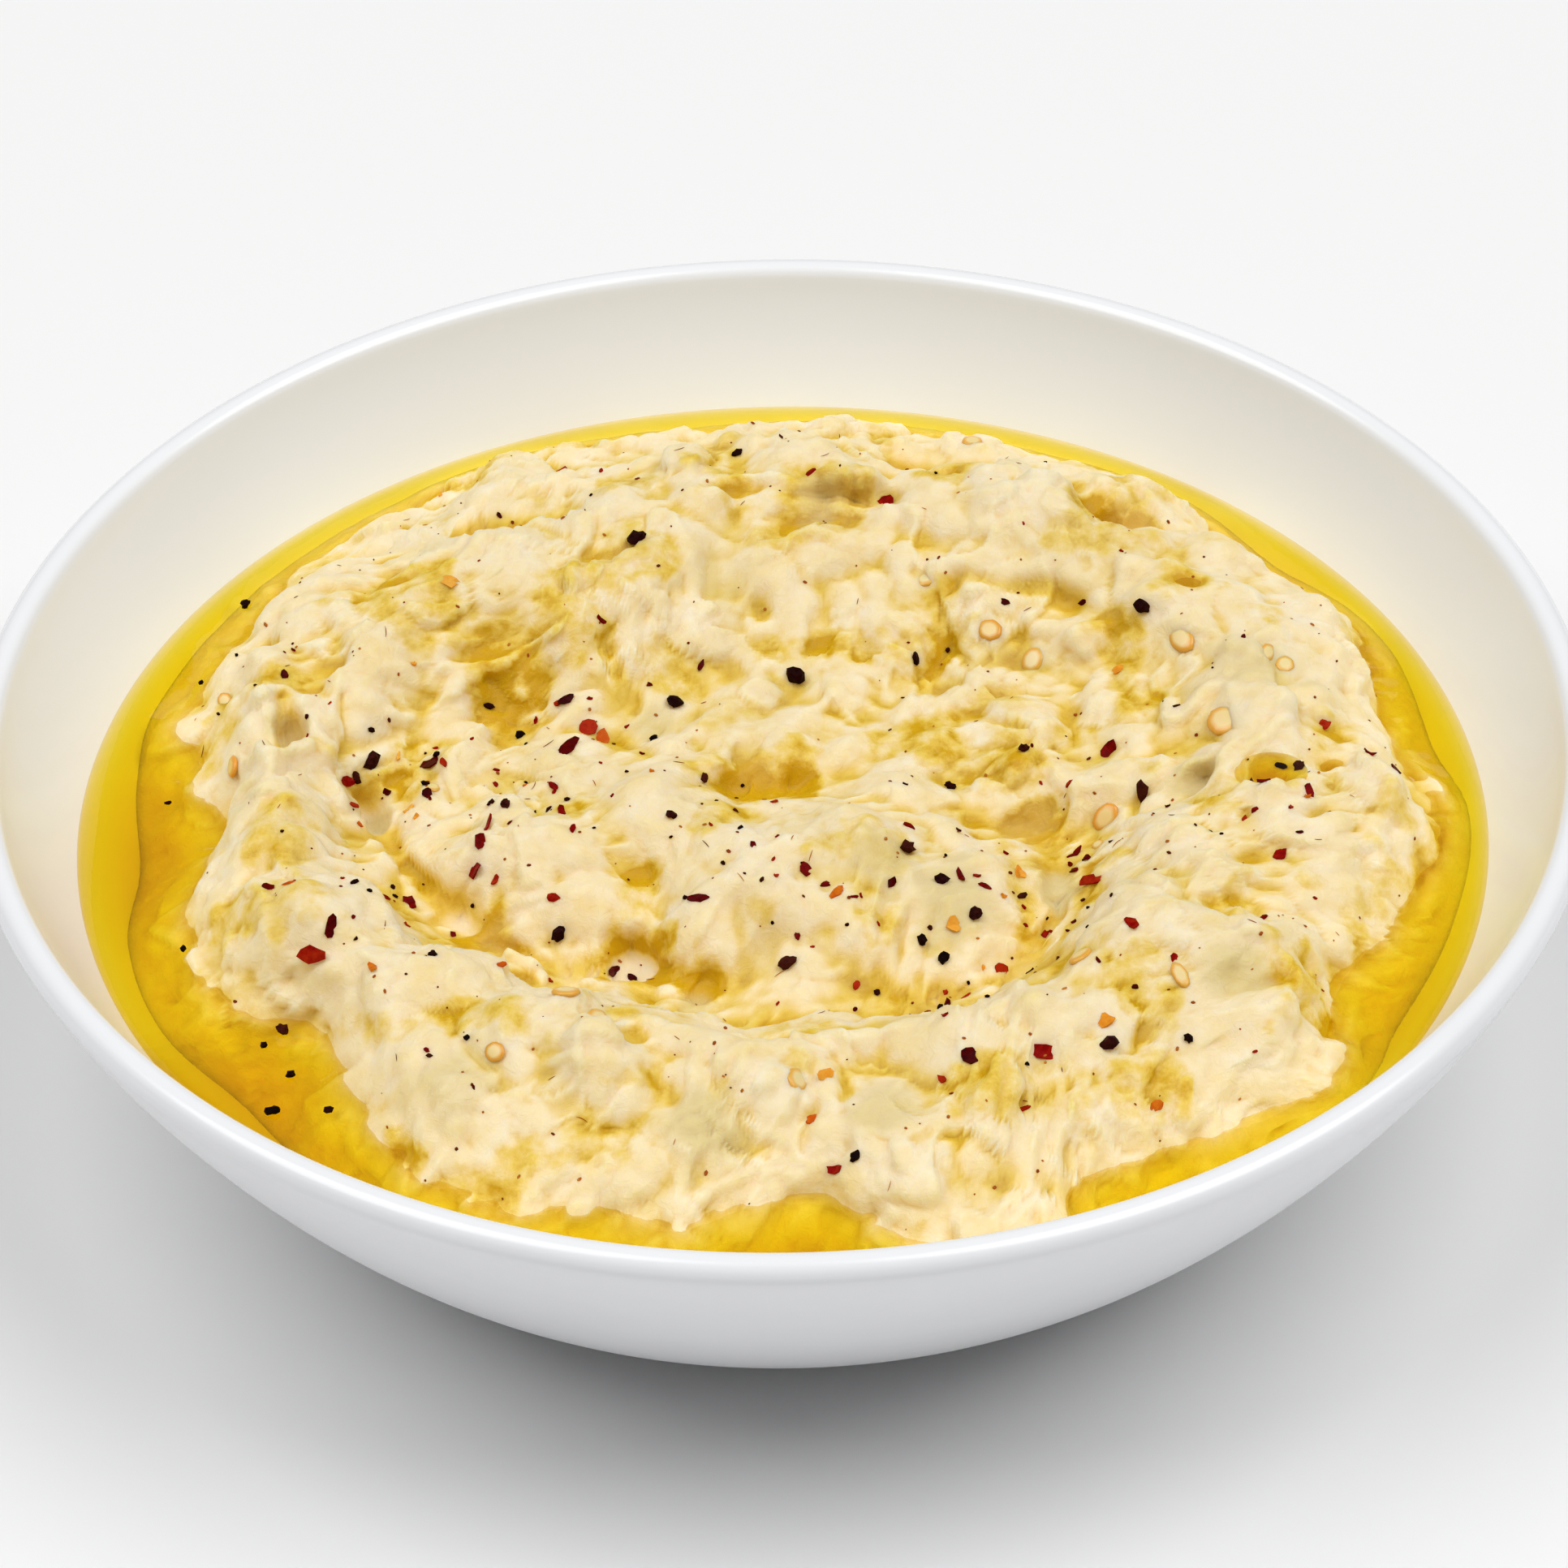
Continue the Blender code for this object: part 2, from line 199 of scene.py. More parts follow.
def wallCurve(offset):
    # the wall from rim to floor as (radius, height), moved inwards by offset
    lean = math.radians(bowl["lean"])
    out = Vector((math.cos(lean), -math.sin(lean)))
    down = Vector((-math.sin(lean), -math.cos(lean)))
    centre = Vector((bowl["rimRadius"] - bowl["wall"] / 2, bowl["height"] - bowl["wall"] / 2))
    top = centre + out * bowl["wall"] / 2
    bottom = Vector((bowl["turnIn"], bowl["footHeight"]))
    drop = (top.y - bottom.y) / math.cos(lean)
    a, b = top, top + down * drop * bowl["rimPull"]
    c, d = bottom + Vector(((top.x - bottom.x) * bowl["floorPull"], 0.0)), bottom
    points = []
    for step in range(bowl["wallSteps"] + 1):
        t = step / bowl["wallSteps"]
        s = 1.0 - t
        point = s ** 3 * a + 3 * s * s * t * b + 3 * s * t * t * c + t ** 3 * d
        tangent = (s * s * (b - a) + 2 * s * t * (c - b) + t * t * (d - c)).normalized()
        points.append(point + Vector((tangent.y, -tangent.x)) * offset)
    return points


innerWall = wallCurve(bowl["wall"])


def wallRadius(height):
    # radius of the bowl's inside at this height, both in mm
    upward = innerWall[::-1]
    return np.interp(height, [p.y for p in upward], [p.x for p in upward])


def makeGlaze():
    # white glazed stoneware: fired gloss glaze, a soft sheen over a cool white that isn't quite even
    glaze, shader = newMaterial("white glazed stoneware", IOR=1.52)
    place = addNode(glaze, "ShaderNodeTexCoord").outputs["Object"]
    # faint clouds 17 mm across
    cloud = addNode(glaze, "ShaderNodeTexNoise", {"Scale": 60.0, "Detail": 3.0}, {"Vector": place})
    first, second = bowl["tints"]
    tint = addNode(glaze, "ShaderNodeMix", {6: linear(first), 7: linear(second)},
                   {0: cloud.outputs["Fac"]}, data_type="RGBA")
    # painted light: inside, the wall is painted a brighter, cooler and cleaner white, standing in for
    # light that the lamps don't bring there
    inside = addNode(glaze, "ShaderNodeAttribute", attribute_name="inside").outputs["Fac"]
    thick = addNode(glaze, "ShaderNodeMix", {7: linear(bowl["paintedInsideLight"])},
                    {0: inside, 6: tint.outputs[2]}, data_type="RGBA")
    # the foot ring is wiped bare before firing, so it is rougher and a little greyer
    height = addNode(glaze, "ShaderNodeSeparateXYZ", links={"Vector": place})
    bare = addNode(glaze, "ShaderNodeMapRange", {"From Min": 0.0010, "From Max": 0.0004},
                   {"Value": height.outputs["Z"]}).outputs["Result"]
    body = addNode(glaze, "ShaderNodeMix", {7: linear(bowl["bareTint"])},
                   {0: bare, 6: thick.outputs[2]}, data_type="RGBA")
    link(glaze, body.outputs[2], shader.inputs["Base Color"])
    sheen = addNode(glaze, "ShaderNodeMapRange", {"To Min": 0.20, "To Max": 0.75}, {"Value": bare})
    link(glaze, sheen.outputs["Result"], shader.inputs["Roughness"])
    # the glaze ran into waves about 9 mm long and a few hundredths of a millimetre high
    waves = addNode(glaze, "ShaderNodeTexNoise", {"Scale": 110.0, "Detail": 2.0}, {"Vector": place})
    bump = addNode(glaze, "ShaderNodeBump", {"Strength": 0.25, "Distance": 0.00015},
                   {"Height": waves.outputs["Fac"]})
    link(glaze, bump.outputs["Normal"], shader.inputs["Normal"])
    return glaze


def makeBowl():
    lean = math.radians(bowl["lean"])
    half = bowl["wall"] / 2
    centre = Vector((bowl["rimRadius"] - half, bowl["height"] - half))
    lip = []
    for step in range(1, bowl["lipSteps"]):
        turn = math.pi - lean - math.pi * step / bowl["lipSteps"]
        lip.append(centre + Vector((math.cos(turn), math.sin(turn))) * half)
    foot, width, high, edge = bowl["footRadius"], bowl["footWidth"], bowl["footHeight"], bowl["footRound"]
    ring = [Vector(p) for p in (
        (foot + 0.5, high), (foot, high - 0.5), (foot, edge), (foot - edge, 0.0),
        (foot - width + edge, 0.0), (foot - width, edge),
        (foot - width, bowl["recess"]), (0.0, bowl["recess"]))]
    section = [Vector((0.0, high + bowl["wall"]))] + innerWall[::-1] + lip + wallCurve(0.0) + ring
    build = bmesh.new()
    verts = [build.verts.new((p.x * mm, 0.0, p.y * mm)) for p in section]
    edges = [build.edges.new(pair) for pair in zip(verts, verts[1:])]
    bmesh.ops.spin(build, geom=verts + edges, cent=(0, 0, 0), axis=(0, 0, 1), angle=math.tau,
                   steps=bowl["turnSteps"], use_merge=True)
    bmesh.ops.remove_doubles(build, verts=build.verts, dist=0.00001)
    bmesh.ops.recalc_face_normals(build, faces=build.faces)
    # how far each vertex lies inside the middle of the wall, for the painted light on the inside
    middle = wallCurve(half)[::-1]
    points = np.array([v.co for v in build.verts]) / mm
    middleRadius = np.interp(points[:, 2], [p.y for p in middle], [p.x for p in middle])
    within = middleRadius - np.hypot(points[:, 0], points[:, 1])
    piece = finishPiece(build, "stonewareBowl", makeGlaze(), "white_glaze")
    setAttribute(piece.data, "inside", np.clip(within / half, 0.0, 1.0) * (points[:, 2] > high + half))
    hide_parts("bowl")


makeBowl()

# the dip: mashed aubergine with sesame paste, spooned round in the bowl. All sizes in mm

dip = {
    "upward": 0.02,  # faces that look up more than this are drawn finely
    "cuts": 5,  # splits each of their edges into six
    "evenRounds": 14,  # rounds of smoothing that take the solid's facets away
    "blobSpacing": 7.0,
    "blobHeight": 1.4,
    "lumpSpacing": 3.6,
    "lumpHeight": 0.75,
    "crumbSpacing": 1.7,
    "crumbHeight": 0.34,
    "grainSpacing": 0.8,
    "grainHeight": 0.06,
    # layers that tore over each other: their spacing, their height and how soft their edges are
    "tears": ((6.5, 0.8, 0.10), (3.2, 0.4, 0.13)),
    "strokeHeight": 0.18,  # fine ridges that the spoon left
    "strokeSpacing": 1.3,
    "strokesFade": (22.0, 32.0),  # distances from the mound's middle
    "smeared": (18.0, 30.0),  # nearer than this the spoon left it smooth, further than this lumpy
    "mound": (1.5, -9.5),
    "intoWall": 0.8,  # the dip's foot reaches this far into the bowl, so that no gap shows under the oil
    "foldRounds": 3,  # how often folds of the surface over itself are looked for
    # what counts as a hollow for the painted shade: rounds that widen what it is set against, weight, full
    # depth
    "hollows": ((6, 0.22, 0.2), (40, 0.4, 0.6), (240, 0.3, 1.2)),
    "drawnTo": (28.3, 29.6),  # heights between which the oil has crept up into the mash
    "washed": (26.4, 28.2),  # heights between which the mash goes under the oil
    # from the palest crests to the oiliest and most shaded hollows, with painted shade in the hollows, as
    # place along the ramp and colour
    "tones": ((0.0, "faf0de"), (0.34, "f8e8c9"), (0.56, "f1d99c"), (0.78, "e8c85a"), (1.0, "d2a40c")),
    "fleshTone": "decb92",
}
# crisp pits: centre x, y, half length, half width, turn in degrees, depth
pits = (
    (-38.4, 2.2, 3.6, 1.7, 112, 2.9),
    (-45.6, 7.2, 3.0, 1.5, 100, 1.8),
    (38.4, -1.2, 2.0, 1.5, 60, 2.2),
    (-13.6, -19.6, 4.0, 2.4, -25, 2.6),
    (-29.6, -13.4, 4.4, 1.8, -45, 1.6),
    (47.8, -27.4, 1.6, 2.4, 10, 1.4),
    (25.0, -11.0, 1.6, 3.6, -10, 0.8),
    (-7.4, -24.4, 2.8, 1.9, 10, 1.6),
    (0.4, 4.6, 6.0, 1.6, 6, 0.8),
    (45.2, -2.9, 3.3, 3.2, 10, 2.4),
    (5.0, 40.6, 4.6, 1.0, -6, 1.2),
    (16.2, 44.6, 3.0, 1.1, -10, 1.0),
    (33.0, 38.6, 4.6, 1.3, -35, 1.3),
    (38.8, 25.0, 2.8, 1.6, -20, 1.0),
    (51.0, 0.4, 2.2, 1.2, 40, 0.9),
)
# folds where the spoon pressed the mash against itself: path, half width, depth, lip outside it
folds = (
    (((-37.8, 0.0), (-35.4, -6.0), (-31.4, -12.4), (-27.0, -16.8), (-20.5, -20.8), (-13.4, -21.6),
      (-6.5, -24.5)), 0.9, 1.2, 0.6),
    (((24.4, -3.0), (25.2, -9.0), (25.0, -14.0), (22.8, -20.4), (17.5, -24.6), (11.0, -26.6)),
     0.8, 1.2, 0.7),
    (((-10.0, 4.6), (-4.0, 3.4), (3.0, 4.2), (8.5, 6.0)), 1.2, 0.5, 0.4),
    (((27.0, 47.0), (31.0, 40.0), (38.0, 36.0), (44.0, 35.0)), 1.0, 1.1, 0.4),
    (((-47.5, 13.0), (-46.0, 7.0), (-47.0, 1.0)), 0.8, 0.9, 0.3),
    (((-8.0, 41.5), (0.0, 41.0), (8.0, 40.0), (13.0, 42.0)), 0.8, 0.9, 0.5),
    (((-46.0, 28.0), (-38.0, 27.0), (-30.0, 30.0)), 0.8, 0.7, 0.4),
    (((10.0, 27.0), (18.0, 29.0), (26.0, 27.0), (31.0, 22.0)), 0.9, 0.8, 0.5),
    (((-14.0, -33.0), (-4.0, -36.5), (6.0, -36.0), (14.0, -33.5)), 1.0, 0.8, 0.5),
)
# where oil has soaked in and turned the mash gold, and, in the hollows and creases among them, painted
# shade: centre x, y, radius, strength
stainsAndShade = (
    (-26.0, 17.6, 6.0, 0.8), (-20.0, 23.0, 6.5, 0.7), (-11.0, 19.0, 5.0, 0.7), (-4.0, 12.6, 6.0, 0.5),
    (-1.0, 4.4, 7.0, 0.95), (13.6, 9.4, 6.0, 0.8), (21.4, 4.6, 5.5, 0.8), (23.6, -1.0, 4.0, 0.8),
    (16.0, 25.5, 7.0, 0.5), (20.0, 15.5, 4.0, 0.6), (5.0, 40.0, 6.5, 0.8), (16.0, 44.8, 4.5, 0.9),
    (33.0, 38.4, 7.5, 0.9), (38.8, 25.0, 4.5, 0.8), (47.5, -4.0, 4.0, 0.4), (-45.7, -10.0, 5.5, 0.8),
    (-45.4, -19.5, 4.5, 0.7), (-27.0, -17.2, 4.5, 0.95), (-13.4, -20.6, 5.0, 1.0), (-7.4, -24.6, 3.6, 0.9),
    (46.6, -29.8, 5.5, 0.8), (54.8, -12.0, 4.5, 0.6), (20.0, -30.6, 4.5, 0.4), (-36.0, 24.0, 5.0, 0.4),
    (15.0, -19.0, 5.0, 0.5), (-16.0, -48.0, 6.0, 0.5), (25.0, -45.0, 6.0, 0.5), (0.0, -36.0, 7.0, 0.3),
)
# glassy grey-green aubergine flesh at the surface: centre x, y, radius, strength
fleshSpots = (
    (9.0, -12.8, 4.5, 0.7), (15.6, -16.0, 5.0, 0.8), (-38.4, 1.4, 2.6, 1.0), (38.4, -1.0, 2.4, 1.0),
    (-7.4, -48.0, 4.6, 0.9), (8.6, -46.6, 4.2, 0.7), (-29.2, -42.0, 5.0, 0.6), (40.6, -30.6, 3.8, 0.8),
    (25.0, -11.4, 3.0, 1.0), (32.4, -16.0, 3.6, 0.5), (44.6, 13.0, 5.5, 0.6), (-46.0, 7.4, 2.2, 0.8),
    (-12.0, 13.0, 3.0, 0.7), (4.0, 40.0, 3.0, 0.6), (-5.0, 30.0, 4.0, 0.4), (-8.0, -26.4, 2.0, 0.7),
)


def smoothStep(low, high, value):
    share = np.clip((value - low) / (high - low), 0.0, 1.0)
    return share * share * (3.0 - 2.0 * share)


def noiseAt(points, spacing, seed):
    # soft noise in -1..1 with features about this far apart
    shift = Vector((seed * 7.31, seed * 3.17, seed * 5.53))
    return np.array([noise.noise(Vector(p) / spacing + shift) for p in points.tolist()])


def domesAt(points, spacing, seed):
    # rounded lumps this far apart, 1 at their tops, with creases where they meet
    shift = Vector((seed * 7.31, seed * 3.17, seed * 5.53))
    near = np.array([noise.voronoi(Vector(p) / spacing + shift)[0][0] for p in points.tolist()])
    return np.clip(1.0 - (near / 0.8) ** 2, -0.3, 1.0)


def neighbours(build):
    edges = np.array([(e.verts[0].index, e.verts[1].index) for e in build.edges])
    return edges, np.bincount(edges.ravel(), minlength=len(build.verts))


def spread(values, edges, count, rounds, step=0.5):
    # each vertex moves towards the mean of its neighbours, a few times over
    values = values.copy()
    for _ in range(rounds):
        near = np.bincount(edges[:, 0], values[edges[:, 1]], len(count))
        near += np.bincount(edges[:, 1], values[edges[:, 0]], len(count))
        values += step * (near / count - values)
    return values


def insideSpot(points, spot, ragged):
    # 0 at a pit's middle, 1 at its ragged edge
    centreX, centreY, halfLength, halfWidth, turn = spot[:5]
    turn = math.radians(turn)
    x, y = points[:, 0] - centreX, points[:, 1] - centreY
    along = x * math.cos(turn) + y * math.sin(turn)
    across = y * math.cos(turn) - x * math.sin(turn)
    return np.hypot(along / halfLength, across / halfWidth) * (1.0 + ragged)


def besidePath(points, path):
    # distance from a path, its share along it, and whether a point lies on its outer side
    best = np.full(len(points), 1e9)
    share = np.zeros(len(points))
    outer = np.zeros(len(points))
    legs = list(zip(path, path[1:]))
    for number, (a, b) in enumerate(legs):
        a, b = np.array(a), np.array(b)
        along = np.clip(((points[:, :2] - a) @ (b - a)) / ((b - a) @ (b - a)), 0.0, 1.0)
        foot = a + along[:, None] * (b - a)
        away = np.hypot(*(points[:, :2] - foot).T)
        closer = away < best
        best = np.where(closer, away, best)
        share = np.where(closer, (number + along) / len(legs), share)
        further = np.hypot(points[:, 0] - dip["mound"][0], points[:, 1] - dip["mound"][1])
        reach = np.hypot(foot[:, 0] - dip["mound"][0], foot[:, 1] - dip["mound"][1])
        outer = np.where(closer, further > reach, outer)
    return best, share, outer


def spotted(points, spots, ragged):
    # soft round patches with uneven edges, 0..1
    total = np.zeros(len(points))
    for x, y, radius, strength in spots:
        away = np.hypot(points[:, 0] - x, points[:, 1] - y) / radius * (1.0 + ragged)
        total = np.maximum(total, strength * (1.0 - smoothStep(0.35, 1.1, away)))
    return total


def dipRelief(points):
    # what the fine surface adds to the solid's form, and how far a point is down a pit or a fold
    warp = np.stack([noiseAt(points, 6.0, s) for s in (1, 2, 3)], axis=1) * 2.6
    bent = points + warp
    fromX, fromY = points[:, 0] - dip["mound"][0], points[:, 1] - dip["mound"][1]
    reach, bearing = np.hypot(fromX, fromY), np.arctan2(fromY, fromX)
    # the spoon smeared the middle smooth and left the edge lumpy
    rugged = 0.4 + 0.6 * smoothStep(*dip["smeared"], reach)
    lumpy = smoothStep(-0.3, 0.3, noiseAt(points, 14.0, 4))
    relief = dip["blobHeight"] * (0.5 + 0.5 * lumpy) * (domesAt(bent, dip["blobSpacing"], 5) - 0.55)
    broken = 0.35 + 0.65 * smoothStep(-0.25, 0.35, noiseAt(points, 8.0, 15))
    relief += dip["lumpHeight"] * rugged * broken * (domesAt(bent, dip["lumpSpacing"], 6) - 0.55)
    rough = 0.2 + 0.8 * smoothStep(-0.2, 0.4, noiseAt(points, 10.0, 16))
    crumbs = domesAt(points + warp * 0.4, dip["crumbSpacing"], 7)
    relief += dip["crumbHeight"] * rugged * rough * (crumbs - 0.5)
    relief += dip["grainHeight"] * noiseAt(points, dip["grainSpacing"], 8)
    # the mash tore into layers that lie over each other with crisp edges
    for number, (spacing, height, edge) in enumerate(dip["tears"]):
        torn = smoothStep(0.0, edge, noiseAt(points + warp * 0.5, spacing, 21 + number))
        some = smoothStep(-0.2, 0.2, noiseAt(points, 11.0, 31 + number))
        relief += height * rugged * some * (torn - 0.5)
    # strokes of the spoon, winding round the mound
    stroked = np.stack([(reach + 2.6 * bearing) / dip["strokeSpacing"],
                        reach * 0.04 + np.cos(bearing) * 1.6, np.sin(bearing) * 1.6], axis=1)
    fade = 1.0 - smoothStep(*dip["strokesFade"], reach)
    relief += dip["strokeHeight"] * noiseAt(stroked, 1.0, 9) * fade
    ragged = 0.30 * noiseAt(points, 2.2, 10)
    patchy = 0.35 + 0.65 * smoothStep(-0.35, 0.1, noiseAt(points, 5.0, 18))
    sunk = np.zeros(len(points))
    for spot in pits:
        down = 1.0 - smoothStep(0.0, 1.15, insideSpot(points, spot, ragged))
        relief -= spot[5] * down
        sunk = np.maximum(sunk, down)
    for path, halfWidth, depth, lip in folds:
        away, share, outer = besidePath(points + warp * 0.35, path)
        ends = smoothStep(0.0, 0.12, share) * (1.0 - smoothStep(0.88, 1.0, share))
        down = (1.0 - smoothStep(0.2, 1.5, away / halfWidth)) * ends * patchy * (0.9 + ragged)
        relief -= depth * down
        beside = smoothStep(0.8, 2.2, away / halfWidth) * (1.0 - smoothStep(2.2, 5.5, away / halfWidth))
        relief += lip * beside * outer * ends * patchy
        sunk = np.maximum(sunk, down)
    return relief, sunk


def makeDip():
    build = bmesh.new()
    build.from_mesh(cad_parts["baba_ganoush"].data)
    bmesh.ops.remove_doubles(build, verts=build.verts, dist=0.00001)
    build.normal_update()
    edges = [edge for edge in build.edges if any(f.normal.z > dip["upward"] for f in edge.link_faces)]
    bmesh.ops.subdivide_edges(build, edges=edges, cuts=dip["cuts"], use_grid_fill=True)
    bmesh.ops.triangulate(build, faces=[f for f in build.faces if len(f.verts) > 3])
    build.normal_update()
    build.verts.index_update()
    pairs, count = neighbours(build)
    # only what looks up on all sides is evened and gets the fine surface
    fine = np.array([all(f.normal.z > 0.0 for f in v.link_faces) for v in build.verts])
    points = np.array([v.co for v in build.verts]) / mm
    # a step in and a step out again, so that the form doesn't shrink
    for _ in range(dip["evenRounds"]):
        for step in (0.5, -0.52):
            moved = np.stack([spread(points[:, i], pairs, count, 1, step) for i in range(3)], axis=1)
            points[fine] = moved[fine]
    for vertex, point in zip(build.verts, points * mm):
        vertex.co = point
    build.normal_update()
    normals = np.array([v.normal for v in build.verts])
    print("dip evened,", len(points), "vertices")

    relief, sunk = dipRelief(points)
    # the relief dies away where the dip meets the bowl under the oil
    across = np.hypot(points[:, 0], points[:, 1])
    room = wallRadius(points[:, 2]) - across
    relief *= smoothStep(0.6, 3.0, room) * fine
    points += normals * relief[:, None]
    foot = 1.0 + dip["intoWall"] / across * (1.0 - smoothStep(0.35, 1.2, room)) * (across > 40.0)
    points[:, :2] *= foot[:, None]
    for vertex, point in zip(build.verts, points * mm):
        vertex.co = point
    # where the fine surface folded over itself it is drawn smooth again
    for _ in range(dip["foldRounds"]):
        build.normal_update()
        folded = [any(f.normal.dot(v.normal) < 0.3 for f in v.link_faces) for v in build.verts]
        folded = np.array(folded) & fine
        around = (spread(folded.astype(float), pairs, count, 3) > 0.01) & fine
        print("folded vertices", folded.sum(), "drawn smooth", around.sum())
        for _ in range(10):
            moved = np.stack([spread(points[:, i], pairs, count, 1) for i in range(3)], axis=1)
            points[around] = moved[around]
        for vertex, point in zip(build.verts, points * mm):
            vertex.co = point

    # how far each vertex lies below what is round it, near by, wider and wider still: painted shade,
    # darker and more golden the deeper it lies
    height = points[:, 2]
    hollowShade = np.zeros(len(height))
    for rounds, weight, depth in dip["hollows"]:
        hollowShade += weight * np.clip((spread(height, pairs, count, rounds) - height) / depth, -1, 1)
    # pits and folds get painted shade as well
    hollowShade = np.maximum(hollowShade, 0.75 * sunk)
    # where oil has soaked in, with the painted shade of the stains in hollows and creases
    ragged = 0.5 * noiseAt(points, 3.0, 12) + 0.25 * noiseAt(points, 1.3, 17)
    soakAndShade = 0.7 * smoothStep(0.0, 0.5, noiseAt(points, 8.0, 11) + 0.5 * ragged)
    soakAndShade = np.maximum(soakAndShade, spotted(points, stainsAndShade, ragged))
    soakAndShade = np.maximum(soakAndShade, 0.35 * (1.0 - smoothStep(*dip["drawnTo"], height)))
    # under the oil the mash is washed pale and loses its painted shade
    under = 1.0 - smoothStep(*dip["washed"], height)
    soakAndShade *= 1.0 - under
    hollowShade = hollowShade * (1.0 - under) - 0.05 * under
    flesh = 0.2 * smoothStep(0.15, 0.5, noiseAt(points, 8.0, 13) + 0.4 * ragged)
    flesh = np.maximum(flesh, spotted(points, fleshSpots, ragged))
    piece = finishPiece(build, "aubergineMash", makeMash(), "aubergine_mash")
    setAttribute(piece.data, "hollowShade", hollowShade)
    setAttribute(piece.data, "soakAndShade", soakAndShade)
    setAttribute(piece.data, "flesh", flesh)
    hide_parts("baba_ganoush")
    return piece


def makeMash():
    # mashed roast aubergine and sesame paste: creamy, damp and slightly see-through, pulled by hand
    mash, shader = newMaterial("aubergine and sesame mash", IOR=1.42, Specular_IOR_Level=0.25,
                               Subsurface_Weight=0.75, Subsurface_Scale=0.0018,
                               Subsurface_Radius=(1.0, 0.90, 0.45))
    place = addNode(mash, "ShaderNodeTexCoord").outputs["Object"]
    soakAndShade, flesh, hollowShade = (addNode(mash, "ShaderNodeAttribute", attribute_name=name).outputs["Fac"]
                           for name in ("soakAndShade", "flesh", "hollowShade"))
    # clouds 3 mm across where there is more paste or more aubergine
    cloud = addNode(mash, "ShaderNodeTexNoise", {"Scale": 300.0, "Detail": 5.0, "Roughness": 0.6},
                    {"Vector": place}).outputs["Fac"]
    # oil soaks in by patches a few millimetres wide, and the stains add painted shade in hollows and
    # creases
    patch = addNode(mash, "ShaderNodeMath", {1: 1.6}, {0: cloud}, operation="MULTIPLY")
    patch = addNode(mash, "ShaderNodeMath", links={0: soakAndShade, 1: patch.outputs[0]}, operation="MULTIPLY")
    oilyAndShaded = addNode(mash, "ShaderNodeMapRange", {"From Min": 0.3, "From Max": 0.9},
                   {"Value": patch.outputs[0]}).outputs["Result"]
    # painted shade: the deeper in a hollow, the darker and more golden; and the oilier, the more golden
    uneven = addNode(mash, "ShaderNodeMath", {1: 0.9}, {0: cloud, 2: hollowShade}, operation="MULTIPLY_ADD")
    uneven = addNode(mash, "ShaderNodeMath", links={0: uneven.outputs[0], 1: oilyAndShaded}, operation="ADD")
    depth = addNode(mash, "ShaderNodeMapRange", {"From Min": -0.35, "From Max": 1.45},
                    {"Value": uneven.outputs[0]})
    ramp = addNode(mash, "ShaderNodeValToRGB", links={"Fac": depth.outputs["Result"]}, tones=dip["tones"])
    fleshy = addNode(mash, "ShaderNodeMix", {7: linear(dip["fleshTone"])},
                     {0: flesh, 6: ramp.outputs["Color"]}, data_type="RGBA")
    link(mash, fleshy.outputs[2], shader.inputs["Base Color"])
    wet = addNode(mash, "ShaderNodeMapRange", {"To Min": 0.48, "To Max": 0.36}, {"Value": oilyAndShaded})
    link(mash, wet.outputs["Result"], shader.inputs["Roughness"])
    # torn fibres 1.2 mm apart
    torn = addNode(mash, "ShaderNodeTexNoise",
                   {"Scale": 830.0, "Detail": 4.0, "Roughness": 0.6, "Distortion": 1.2}, {"Vector": place})
    bump = addNode(mash, "ShaderNodeBump", {"Strength": 0.6, "Distance": 0.0003},
                   {"Height": torn.outputs["Fac"]})
    link(mash, bump.outputs["Normal"], shader.inputs["Normal"])
    return mash


mashPiece = makeDip()

# the oil: olive oil standing round the dip. All sizes in mm

oil = {
    "level": 28.0,
    "cuts": 5,  # splits each edge of the ring's top into six
    "nearWall": 0.7,  # what lies closer to the bowl than this is the ring's outer side
    "intoWall": 1.0,  # how far that side is pushed into the wall
    "wallSink": 1.2,  # and its lower edge pushed down
    "intoDip": 2.6,  # how far the ring's inner side is pushed into the dip
    "dipSink": 2.2,  # and its lower edge pushed down
    "climb": 0.55,  # height of the curved edge where oil meets wall or dip
    "climbWidth": 0.9,
    "rippleLength": 9.0,
    "rippleHeight": 0.12,
    "colour": "ecd084",  # of the thinnest oil
    "deepColour": "fdfa00",  # what deeper oil lets through
    "density": 900.0,  # how soon it turns to that
}


def makeOilMaterial():
    # olive oil: clear, so what lies under it shows, and deep yellow where it is more than 2 mm deep
    clear, shader = newMaterial("green gold olive oil", Base_Color=linear(oil["colour"]), Roughness=0.02,
                                IOR=1.47, Specular_IOR_Level=0.3, Transmission_Weight=1.0)
    output = clear.node_tree.nodes["Material Output"]
    depth = addNode(clear, "ShaderNodeVolumeAbsorption",
                    {"Color": linear(oil["deepColour"]), "Density": oil["density"]})
    link(clear, depth.outputs["Volume"], output.inputs["Volume"])
    # lamps shine straight through, so that the bowl and the dip under the oil are lit
    through = addNode(clear, "ShaderNodeBsdfTransparent")
    path = addNode(clear, "ShaderNodeLightPath")
    both = addNode(clear, "ShaderNodeMixShader", links={
        0: path.outputs["Is Camera Ray"], 1: through.outputs["BSDF"], 2: shader.outputs["BSDF"]})
    link(clear, both.outputs["Shader"], output.inputs["Surface"])
    return clear


